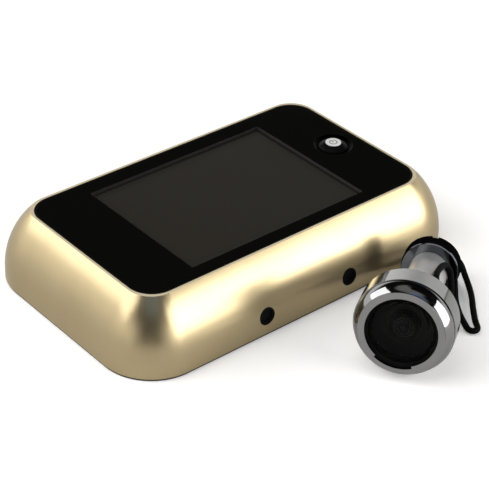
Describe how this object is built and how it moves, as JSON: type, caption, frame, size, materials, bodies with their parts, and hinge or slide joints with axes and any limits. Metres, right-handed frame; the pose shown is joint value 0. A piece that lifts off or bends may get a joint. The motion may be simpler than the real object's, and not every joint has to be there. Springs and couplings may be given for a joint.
{
  "type": "peephole door camera",
  "caption": "Door viewer set: slab-shaped indoor screen unit with bulged metallic sides and a push button, and a round camera head on a sleeved stem with a thin black lead.",
  "frame": {"origin": "middle of the monitor's back, on the plane it rests on", "axes": "+X along the long side towards the button, +Y towards the upper long edge of the screen, +Z out of the screen"},
  "size_m": [0.134, 0.1364, 0.0318],
  "materials": {
    "shell": "champagne metallic lacquer, satin",
    "cover": "dark brown-black, fine spark texture",
    "panel": "polished black acrylic with a tinted window",
    "foam": "black foam tape",
    "lcd_metal": "pressed steel",
    "lcd_glass": "switched-off display",
    "board": "green circuit board",
    "chips": "black moulded chips",
    "flex": "amber flexible circuit",
    "switch": "black switch body",
    "socket": "natural white nylon",
    "cell": "plain wrapped cell",
    "contact": "nickel plated",
    "screw": "blackened steel",
    "button": "gloss black",
    "icon": "white inlay",
    "bracket": "black powder coat",
    "chrome": "bright plated",
    "rubber": "black rubber",
    "window": "dark tinted window",
    "lens_black": "black anodised",
    "lens": "coated glass",
    "stem": "turned and nickel plated",
    "lead": "black soft jacket",
    "plug": "black moulded plug"
  },
  "bodies": {
    "monitor": {"front_housing": "shell", "rear_cover": "cover", "front_panel": "panel", "lcd_gasket": "foam", "lcd_frame": "lcd_metal", "lcd_glass": "lcd_glass", "main_board": "board", "board_parts": "chips", "lcd_ribbon": "flex", "tact_switch": "switch", "camera_socket": "socket", "battery_cells": "cell", "battery_contacts": "contact", "case_screws": "screw"},
    "button": {"button_cap": "button", "button_icon": "icon"},
    "battery_lid": {"battery_door": "cover"},
    "bracket": {"wall_bracket": "bracket"},
    "camera": {"camera_shell": "chrome", "camera_bezel": "chrome", "window_gasket": "rubber", "camera_window": "window", "sensor_board": "board", "lens_holder": "lens_black", "camera_lens": "lens", "camera_stem": "stem", "stem_grommet": "rubber", "camera_cable": "lead", "cable_plug": "plug"},
    "washer": {"sleeve_washer": "chrome"},
    "nut": {"sleeve_nut": "chrome"}
  },
  "joints": [
    {"name": "button_press", "type": "slide", "parent": "monitor", "child": "button", "axis": [0, 0, -1], "range_m": [0, 0.0007], "stiffness_N_per_m": 300, "springref_m": -0.0005},
    {"name": "battery_lid_off", "type": "slide", "parent": "monitor", "child": "battery_lid", "axis": [0, 0, -1], "range_m": [0, 0.014]},
    {"name": "bracket_unhook", "type": "slide", "parent": "monitor", "child": "bracket", "axis": [0, -1, 0], "range_m": [0, 0.003]},
    {"name": "camera_lift", "type": "slide", "parent": "monitor", "child": "camera", "axis": [0, 0, 1], "range_m": [0, 0.06]},
    {"name": "nut_travel", "type": "slide", "parent": "camera", "child": "washer", "axis": [0.823, 0.5468, -0.1541], "range_m": [0, 0.00301]},
    {"name": "nut_turn", "type": "hinge", "parent": "washer", "child": "nut", "pos_m": [0.04043, -0.05478, 0.00926], "axis": [0.823, 0.5468, -0.1541], "range_deg": [0, 1080]}
  ],
  "couplings": [
    {"joint": "nut_travel", "follows": "nut_turn", "m_per_rad": 0.00015915}
  ]
}
